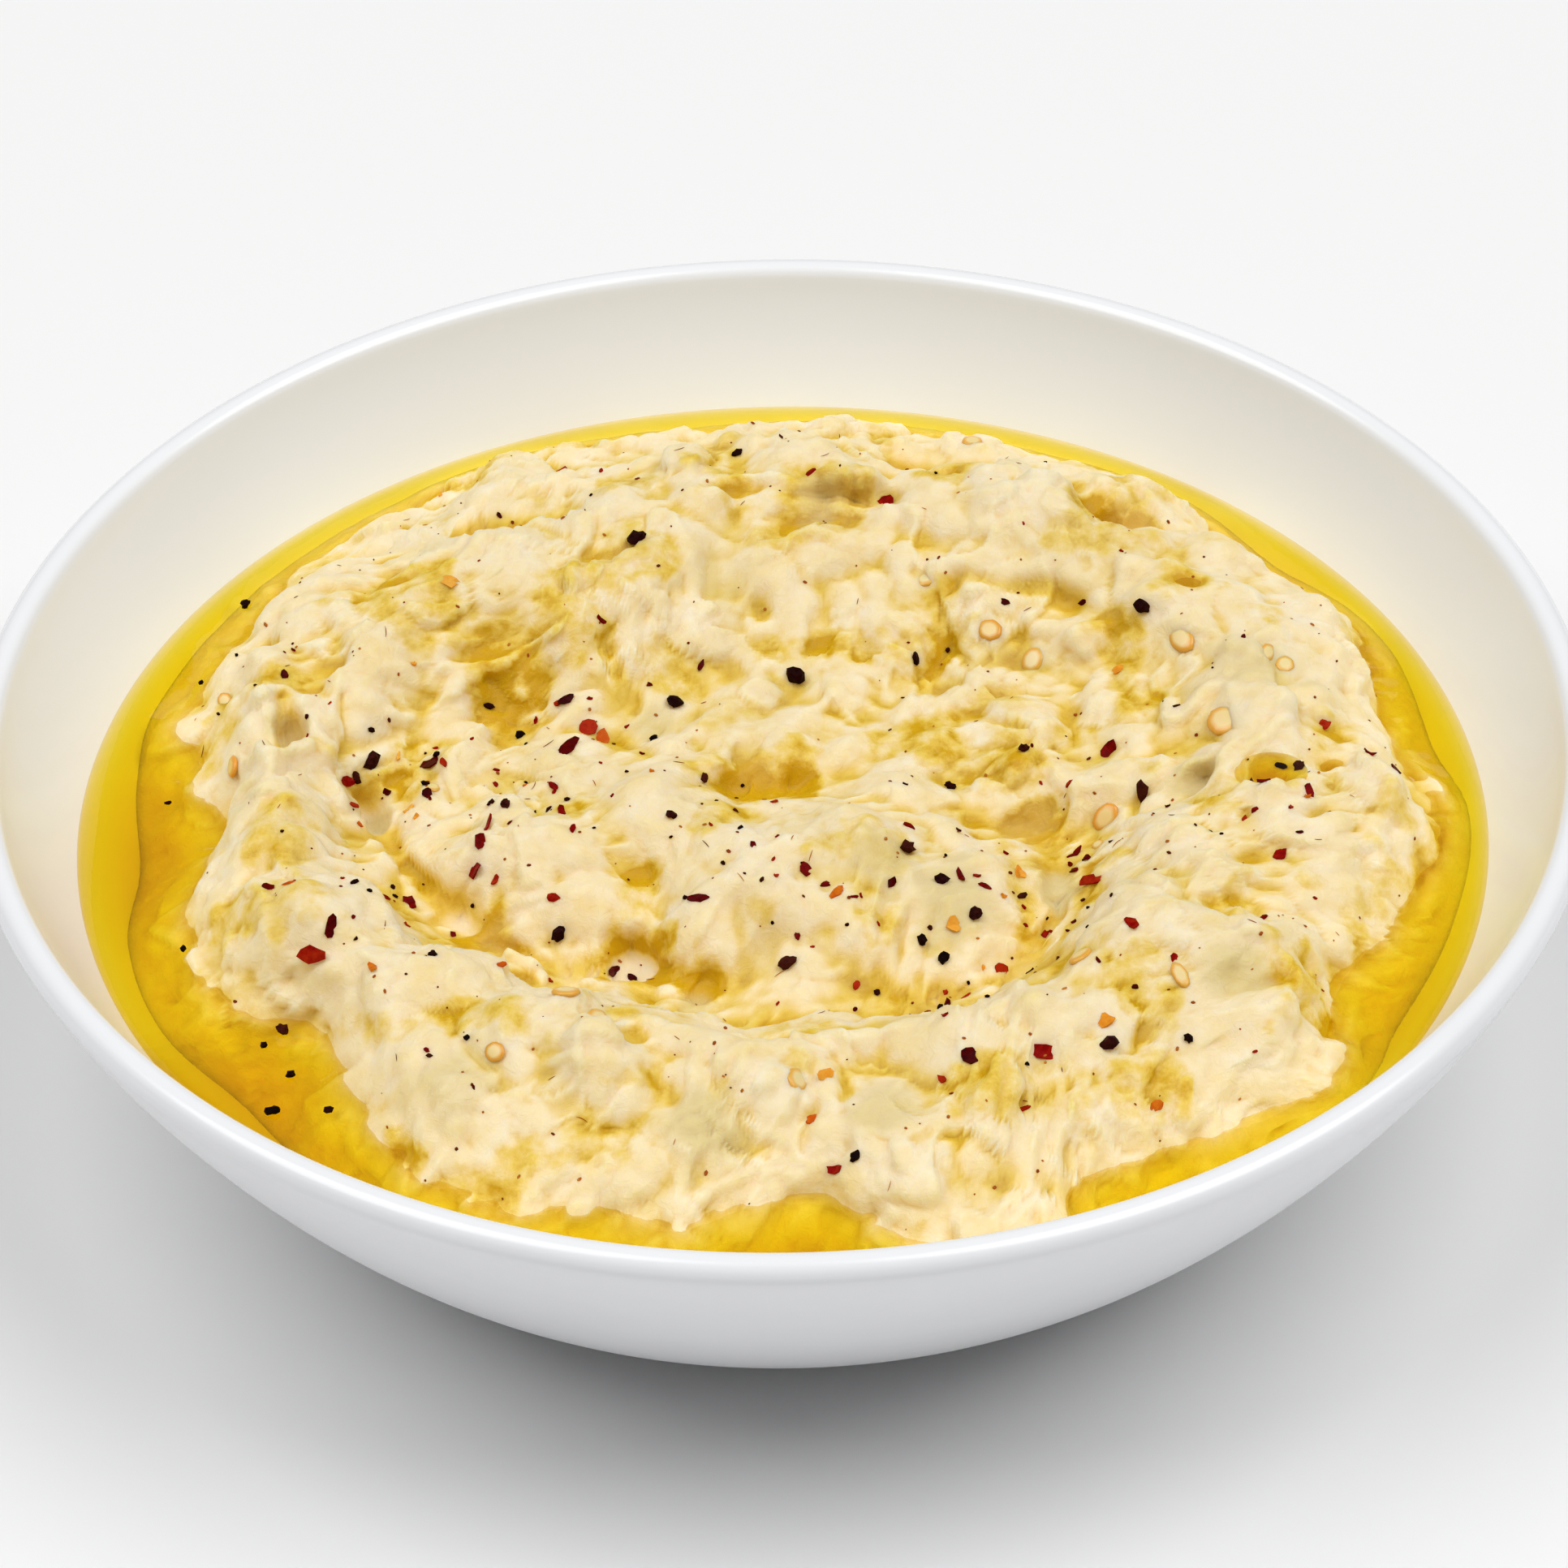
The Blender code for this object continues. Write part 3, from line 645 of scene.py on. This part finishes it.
def makeOil():
    build = bmesh.new()
    build.from_mesh(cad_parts["olive_oil"].data)
    bmesh.ops.remove_doubles(build, verts=build.verts, dist=0.00001)
    build.normal_update()
    level = oil["level"]
    points = np.array([v.co for v in build.verts]) / mm
    radius = np.hypot(points[:, 0], points[:, 1])
    outer = wallRadius(points[:, 2]) - radius < oil["nearWall"]
    top = points[:, 2] > level - 0.05
    # the ring's sides go into the wall and the dip, so that no gap shows
    for vertex, point, r, isOuter, isTop in zip(build.verts, points, radius, outer, top):
        scale = (r + (oil["intoWall"] if isOuter else -oil["intoDip"])) / r
        sink = 0.0 if isTop else oil["wallSink" if isOuter else "dipSink"]
        vertex.co = (point[0] * scale * mm, point[1] * scale * mm, (point[2] - sink) * mm)
    build.normal_update()
    edges = [edge for edge in build.edges if any(f.normal.z > 0.9 for f in edge.link_faces)]
    bmesh.ops.subdivide_edges(build, edges=edges, cuts=oil["cuts"], use_grid_fill=True)
    bmesh.ops.triangulate(build, faces=[f for f in build.faces if len(f.verts) > 3])
    shell = BVHTree.FromObject(mashPiece, bpy.context.evaluated_depsgraph_get())
    for vertex in build.verts:
        if vertex.co.z < (level - 0.05) * mm:
            continue
        r = math.hypot(vertex.co.x, vertex.co.y) / mm
        gap = float(wallRadius(level)) - r
        _, _, _, away = shell.find_nearest(vertex.co)
        nearest = min(max(gap, 0.0), away / mm)
        climb = oil["climb"] * math.exp(-nearest / oil["climbWidth"])
        ripple = noise.noise(vertex.co / (oil["rippleLength"] * mm)) * oil["rippleHeight"]
        vertex.co.z += (climb + ripple * min(nearest / 2, 1)) * mm
    bmesh.ops.recalc_face_normals(build, faces=build.faces)
    piece = finishPiece(build, "standingOil", makeOilMaterial(), "olive_oil")
    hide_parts("olive_oil")
    return piece


oilPiece = makeOil()

# the toppings: pepper, chilli, seeds, dust and small pools of oil. All sizes in mm

dice = random.Random(7)
mashTree = BVHTree.FromObject(mashPiece, bpy.context.evaluated_depsgraph_get())
oilTree = BVHTree.FromObject(oilPiece, bpy.context.evaluated_depsgraph_get())
dipReach = 60.0  # scattered bits fall within this of the middle, to each side


def groundUnder(x, y):
    # what lies straight below a place: its point, its normal, and which of the two it is
    start, down = Vector((x, y, 60.0)) * mm, Vector((0, 0, -1))
    place, normal, _, _ = mashTree.ray_cast(start, down)
    over, overNormal, _, _ = oilTree.ray_cast(start, down)
    if over is not None and (place is None or over.z > place.z):
        return over, overNormal, "oil"
    return place, normal, "mash"


# heaps where the shaking hand paused: x, y, how widely its bits fell. In each kind of bit, heaped is
# the share that fell there, and clump says how strongly the others kept together
heaps = ((-22.0, -4.5, 4.5), (-4.5, -13.0, 6.0), (6.5, -21.5, 4.5), (15.5, -15.0, 5.0), (28.0, -11.5, 5.5),
         (-14.5, 9.5, 5.5), (-36.0, -18.0, 6.0), (22.0, -28.0, 6.0), (44.0, -11.0, 5.0), (-34.0, 4.5, 5.0))


def somewhere(kind):
    # a random place on the mash, more often where the shaking hand dropped more
    while True:
        x, y = dice.uniform(-dipReach, dipReach), dice.uniform(-dipReach, dipReach)
        if dice.random() < kind["heaped"]:
            middleX, middleY, wide = dice.choice(heaps)
            x, y = dice.gauss(middleX, wide), dice.gauss(middleY, wide)
        elif noise.noise(Vector((x, y, 90.0)) / 13.0) < dice.uniform(-0.9, kind["clump"]):
            continue
        place, normal, ground = groundUnder(x, y)
        if place is not None and ground == "mash" and normal.z > 0.25:
            return x, y


def newBits(*layers):
    # an empty bmesh whose bits carry a tone of their own
    build = bmesh.new()
    for layer in ("tone", *layers):
        build.verts.layers.float.new(layer)
    return build


def layDown(build, verts, x, y, proud, lean=0.3, turn=None):
    # lays a bit flat on what is below it, a little crooked, with its middle this far above the surface
    place, normal, _ = groundUnder(x, y)
    turn = dice.uniform(0, 2 * math.pi) if turn is None else math.radians(turn)
    matrix = Matrix.Translation(place + normal * proud * mm)
    matrix = matrix @ normal.to_track_quat("Z", "Y").to_matrix().to_4x4()
    for axis in "XY":
        matrix = matrix @ Matrix.Rotation(dice.uniform(-lean, lean), 4, axis)
    bmesh.ops.transform(build, matrix=matrix @ Matrix.Rotation(turn, 4, "Z"), verts=verts)
    tone = build.verts.layers.float["tone"]
    shade = dice.random()
    for vertex in verts:
        vertex[tone] = shade


def spiceMaterial(name, codes, roughness, fleck, subsurface=0.0):
    # each bit has its own tone between these colours, and flecks this many millimetres wide
    spice, shader = newMaterial(name, Roughness=roughness, Specular_IOR_Level=0.04,
                                Subsurface_Weight=subsurface, Subsurface_Scale=0.0006)
    place = addNode(spice, "ShaderNodeTexCoord").outputs["Object"]
    tone = addNode(spice, "ShaderNodeAttribute", attribute_name="tone").outputs["Fac"]
    flecks = addNode(spice, "ShaderNodeTexNoise", {"Scale": 1000.0 / fleck, "Detail": 3.0},
                     {"Vector": place}).outputs["Fac"]
    flecked = addNode(spice, "ShaderNodeMath", {1: 0.8, 2: -0.4}, {0: flecks}, operation="MULTIPLY_ADD")
    shade = addNode(spice, "ShaderNodeMath", links={0: flecked.outputs[0], 1: tone})
    tones = [(number / (len(codes) - 1), code) for number, code in enumerate(codes)]
    ramp = addNode(spice, "ShaderNodeValToRGB", links={"Fac": shade.outputs[0]}, tones=tones)
    link(spice, ramp.outputs["Color"], shader.inputs["Base Color"])
    bump = addNode(spice, "ShaderNodeBump", {"Strength": 0.5, "Distance": 0.00008}, {"Height": flecks})
    link(spice, bump.outputs["Normal"], shader.inputs["Normal"])
    return spice


pepper = {
    "bits": 70,
    "sizes": (0.42, 1.3),
    "clump": 0.1,
    "heaped": 0.45,
    # the coarsest bits: x, y, size
    "coarse": ((-38.5, 6.4, 1.8), (-40.0, 4.6, 1.1), (-24.7, 12.6, 1.2), (-25.6, -2.5, 1.3),
               (-10.2, 15.6, 1.9), (1.4, 19.6, 2.1), (-13.5, 33.0, 1.9), (11.3, -10.4, 1.7),
               (17.5, -17.8, 1.7), (0.4, -23.2, 1.9), (-20.5, -17.6, 1.4), (14.4, -22.4, 1.4),
               (33.4, -1.2, 1.7), (34.6, 21.8, 1.9), (48.0, -1.4, 1.6), (28.5, -39.4, 1.8),
               (-45.2, -29.0, 1.2), (-31.4, -27.0, 1.2), (6.0, -51.0, 1.2)),
    # and those that float on the oil
    "afloat": ((-52.0, 34.2, 1.2), (-57.6, 3.8, 0.8), (-55.6, 21.8, 0.6), (-45.5, -39.8, 1.3),
               (-44.2, -35.0, 1.1), (-46.8, -31.0, 0.9), (-54.8, -17.8, 0.8), (-40.6, -39.9, 0.9)),
    "tones": ("0a0101", "1a0202", "260404", "40140a"),
}


def pepperBit(build, size):
    # a cracked grain: an uneven ball, longer than it is wide and lower still
    finer = 2 if size > 1.0 else 1
    made = bmesh.ops.create_icosphere(build, subdivisions=finer, radius=size / 2 * mm)["verts"]
    for vertex in made:
        vertex.co *= dice.uniform(0.66, 1.15)
    shape = dice.uniform(0.9, 1.4), dice.uniform(0.65, 1.0), dice.uniform(0.5, 0.75)
    bmesh.ops.scale(build, verts=made, vec=shape)
    return made


def makePepper():
    build = newBits()
    low, high = pepper["sizes"]
    for x, y, size in pepper["coarse"] + pepper["afloat"]:
        layDown(build, pepperBit(build, size), x, y, size * 0.16)
    for _ in range(pepper["bits"]):
        size = low + (high - low) * dice.random() ** 2.2
        layDown(build, pepperBit(build, size), *somewhere(pepper), size * 0.14)
    # cracked black pepper: nearly black skin, brown where it broke
    material = spiceMaterial("cracked black pepper", pepper["tones"], 0.6, 0.5)
    return finishPiece(build, "crackedPepper", material, "aubergine_mash", smooth=False)


chilli = {
    "bits": 130,
    "lengths": (0.5, 1.8),
    "thick": 0.18,
    "clump": 0.1,
    "heaped": 0.5,
    # the largest flakes: x, y, length, width, turn in degrees
    "large": ((-33.0, 6.4, 2.4, 2.0, 10), (-28.3, -10.2, 2.6, 1.7, 25), (-27.3, -6.0, 2.8, 1.3, -25),
              (-18.4, 12.2, 1.9, 1.8, 30), (-20.0, 8.0, 2.8, 1.2, -62), (-20.4, 15.0, 1.7, 0.9, 40),
              (-21.5, 50.8, 1.9, 1.4, 10), (28.2, -12.6, 2.7, 1.2, 55), (30.8, 6.2, 1.9, 1.5, 80),
              (-42.4, -26.0, 2.6, 1.8, 20), (-40.6, -24.0, 2.2, 1.1, 65), (31.0, -26.6, 2.0, 1.0, 50),
              (45.4, -13.0, 1.7, 1.2, 20), (22.9, -40.0, 3.4, 1.3, 0), (10.4, 41.0, 1.9, 1.6, 90),
              (16.2, -41.2, 2.0, 1.8, 0), (-7.8, -17.6, 2.2, 0.9, 30), (-15.6, -19.8, 2.4, 0.8, -20)),
    "tones": ("340103", "5c0202", "860402", "a82808"),
}


def flake(build, length, width, thick):
    # a torn piece of dried skin: an uneven outline, curled along its length
    made = bmesh.ops.create_circle(build, cap_ends=True, cap_tris=True, segments=9,
                                   radius=0.5 * mm)["verts"]
    for vertex in made:
        vertex.co *= dice.uniform(0.75, 1.15)
    bmesh.ops.scale(build, verts=made, vec=(length, width, 1.0))
    curl = dice.uniform(-0.5, 0.9) / length
    for vertex in made:
        vertex.co.z = curl * (vertex.co.x / mm) ** 2 * mm + dice.uniform(-0.05, 0.05) * mm
    skin = list(dict.fromkeys(face for vertex in made for face in vertex.link_faces))
    grown = bmesh.ops.solidify(build, geom=skin, thickness=thick * mm)["geom"]
    grown = [item for item in grown if isinstance(item, bmesh.types.BMVert)]
    return list(dict.fromkeys([*made, *grown]))


def makeFlakes(name, kind, material):
    build = newBits()
    low, high = kind["lengths"]
    for x, y, length, width, turn in kind["large"]:
        layDown(build, flake(build, length, width, kind["thick"]), x, y, 0.12, 0.2, turn)
    for _ in range(kind["bits"]):
        length = low + (high - low) * dice.random() ** 1.6
        made = flake(build, length, length * dice.uniform(0.35, 0.8), kind["thick"])
        layDown(build, made, *somewhere(kind), 0.1)
    bmesh.ops.recalc_face_normals(build, faces=build.faces)
    return finishPiece(build, name, material, "aubergine_mash", smooth=False)


orange = {
    "bits": 16,
    "lengths": (0.7, 1.6),
    "thick": 0.2,
    "clump": 0.1,
    "heaped": 0.5,
    "large": ((-16.9, 11.4, 1.8, 1.2, 80), (21.7, -11.2, 2.2, 1.0, 25), (4.8, -17.2, 1.8, 1.0, -10),
              (-31.4, 25.4, 2.0, 1.3, 0), (32.7, -44.0, 1.7, 1.5, 80), (2.2, -45.8, 1.8, 1.6, 20),
              (15.4, -19.0, 1.6, 1.5, 90), (-36.7, -29.2, 1.7, 0.7, 35), (28.3, -37.0, 1.7, 1.6, 0)),
    "tones": ("c0500e", "d87a1a", "e89a2e", "f0b048"),
}

seeds = {
    "bits": 7,
    "sizes": (1.6, 2.4),
    "thick": 0.30,  # as a share of its width
    "clump": 0.1,
    "heaped": 0.0,
    # x, y, length, width, turn in degrees
    "placed": ((41.4, 5.6, 3.5, 3.3, 0), (38.1, 18.2, 3.4, 2.3, -5), (20.1, 23.2, 2.6, 2.2, 0),
               (24.1, 20.2, 2.2, 2.6, 20), (30.0, -2.8, 2.2, 3.0, -15), (26.5, -28.0, 3.2, 1.9, 20),
               (46.0, 14.6, 2.2, 1.6, 0), (47.6, 13.6, 1.8, 2.0, 0), (-19.4, -33.2, 2.6, 2.2, 10),
               (-16.5, -35.4, 2.9, 2.4, 0), (-25.6, -40.0, 2.0, 1.8, 0), (1.0, -43.0, 2.6, 2.2, 0),
               (-51.4, 4.4, 2.4, 2.0, 0), (35.2, -31.6, 3.0, 1.4, -35)),
    "discTones": ("f4dfaa", "f0cf86"),
    "rimTones": ("edb852", "e4a032"),
}


def makeSeeds():
    build = newBits("rim")
    rim = build.verts.layers.float["rim"]
    low, high = seeds["sizes"]
    spots = list(seeds["placed"])
    for _ in range(seeds["bits"]):
        length = dice.uniform(low, high)
        spots.append((*somewhere(seeds), length, length * dice.uniform(0.7, 0.95), dice.uniform(0, 180)))
    for x, y, length, width, turn in spots:
        made = bmesh.ops.create_uvsphere(build, u_segments=18, v_segments=10, radius=0.5 * mm)["verts"]
        for vertex in made:
            reach = math.hypot(vertex.co.x, vertex.co.y) / (0.5 * mm)
            vertex[rim] = reach
            # a flat disc with a thicker, slightly scalloped rim
            vertex.co.z *= seeds["thick"] * (0.85 + 0.5 * reach ** 3) * (length + width) / 2
            vertex.co.xy *= 1.0 + 0.03 * math.sin(7 * math.atan2(vertex.co.y, vertex.co.x) + x)
        bmesh.ops.scale(build, verts=made, vec=(length, width, 1.0))
        layDown(build, made, x, y, -0.04, 0.15, turn)
    # aubergine seed: a pale see-through disc with a browner rim
    material, shader = newMaterial("roasted aubergine seed", Roughness=0.28, Subsurface_Weight=0.35,
                                   Subsurface_Scale=0.001)
    edge = addNode(material, "ShaderNodeAttribute", attribute_name="rim").outputs["Fac"]
    tone = addNode(material, "ShaderNodeAttribute", attribute_name="tone").outputs["Fac"]
    ringed = addNode(material, "ShaderNodeMapRange", {"From Min": 0.5, "From Max": 0.8}, {"Value": edge})
    pale, dark = (addNode(material, "ShaderNodeMix", {6: linear(first), 7: linear(second)}, {0: tone},
                          data_type="RGBA").outputs[2]
                  for first, second in (seeds["discTones"], seeds["rimTones"]))
    both = addNode(material, "ShaderNodeMix", links={0: ringed.outputs["Result"], 6: pale, 7: dark},
                   data_type="RGBA")
    link(material, both.outputs[2], shader.inputs["Base Color"])
    return finishPiece(build, "aubergineSeeds", material, "aubergine_mash")


dust = {
    "grains": 380,
    "sizes": (0.14, 0.4),
    "threads": 70,
    "threadLengths": (0.5, 1.5),
    "threadWidth": 0.09,
    "clump": 0.0,
    "heaped": 0.0,
    "tones": ("4e1c0c", "7e3212", "a2541c", "c07c2e"),
}


def makeDust():
    build = newBits()
    low, high = dust["sizes"]
    for _ in range(dust["grains"]):
        size = low + (high - low) * dice.random() ** 1.5
        made = bmesh.ops.create_icosphere(build, subdivisions=1, radius=size / 2 * mm)["verts"]
        bmesh.ops.scale(build, verts=made, vec=(dice.uniform(1.0, 1.8), 1.0, 0.6))
        layDown(build, made, *somewhere(dust), size * 0.1)
    low, high = dust["threadLengths"]
    for _ in range(dust["threads"]):
        length, width = dice.uniform(low, high), dust["threadWidth"]
        made = bmesh.ops.create_uvsphere(build, u_segments=4, v_segments=6, radius=0.5 * mm)["verts"]
        bmesh.ops.rotate(build, verts=made, matrix=Matrix.Rotation(math.pi / 2, 3, "Y"))
        bmesh.ops.scale(build, verts=made, vec=(length, width, width))
        bend = dice.uniform(-0.35, 0.35)
        for vertex in made:
            vertex.co.y += bend * (vertex.co.x / mm) ** 2 * mm
        layDown(build, made, *somewhere(dust), 0.04, 0.05)
    # ground chilli and pepper dust, with wisps of burnt skin
    material = spiceMaterial("ground spice dust", dust["tones"], 0.6, 0.4)
    return finishPiece(build, "spiceDust", material, "aubergine_mash", smooth=False)


pools = (
    # x, y, length, width, turn in degrees, how far its level is under the mash round it
    (45.2, -2.9, 6.8, 6.0, 8, -0.1),
    (38.6, 25.0, 4.8, 2.8, -20, 0.3),
    (50.9, 0.6, 3.6, 1.8, 40, 0.2),
    (-7.4, -24.6, 3.6, 2.4, 10, 0.7),
)


def makePools():
    # oil that has gathered in hollows of the mash
    build = bmesh.new()
    for x, y, length, width, turn, under in pools:
        turned = math.radians(turn)
        around = []
        for number in range(8):
            bearing = number * math.pi / 4
            along, across = length * 0.6 * math.cos(bearing), width * 0.6 * math.sin(bearing)
            place = groundUnder(x + along * math.cos(turned) - across * math.sin(turned),
                                y + along * math.sin(turned) + across * math.cos(turned))[0]
            around.append(place.z / mm)
        level = sorted(around)[2] - under
        made = bmesh.ops.create_uvsphere(build, u_segments=40, v_segments=20, radius=0.5 * mm)["verts"]
        bmesh.ops.scale(build, verts=made, vec=(length, width, 3.0))
        bmesh.ops.rotate(build, verts=made, matrix=Matrix.Rotation(turned, 3, "Z"))
        bmesh.ops.translate(build, verts=made, vec=Vector((x, y, level)) * mm)
        # all that stands over the puddle's level is cut away
        part = [item for vertex in made for item in (vertex, *vertex.link_edges, *vertex.link_faces)]
        cut = bmesh.ops.bisect_plane(build, geom=list(dict.fromkeys(part)), plane_no=(0, 0, 1),
                                     plane_co=Vector((x, y, level)) * mm, clear_outer=True)["geom_cut"]
        bmesh.ops.holes_fill(build, edges=[item for item in cut if isinstance(item, bmesh.types.BMEdge)])
    bmesh.ops.recalc_face_normals(build, faces=build.faces)
    return finishPiece(build, "oilPools", makeOilMaterial(), "olive_oil", smooth=False)


makePepper()
# dried chilli: dark red skin that the oil has softened
chilliMaterial = spiceMaterial("dried chilli flake", chilli["tones"], 0.45, 0.6)
makeFlakes("chilliFlakes", chilli, chilliMaterial)
# paler chilli flesh, orange and half see-through
orangeMaterial = spiceMaterial("orange chilli flesh", orange["tones"], 0.35, 0.6, subsurface=0.2)
makeFlakes("orangeFlakes", orange, orangeMaterial)
makeSeeds()
makeDust()
makePools()
print("toppings laid")
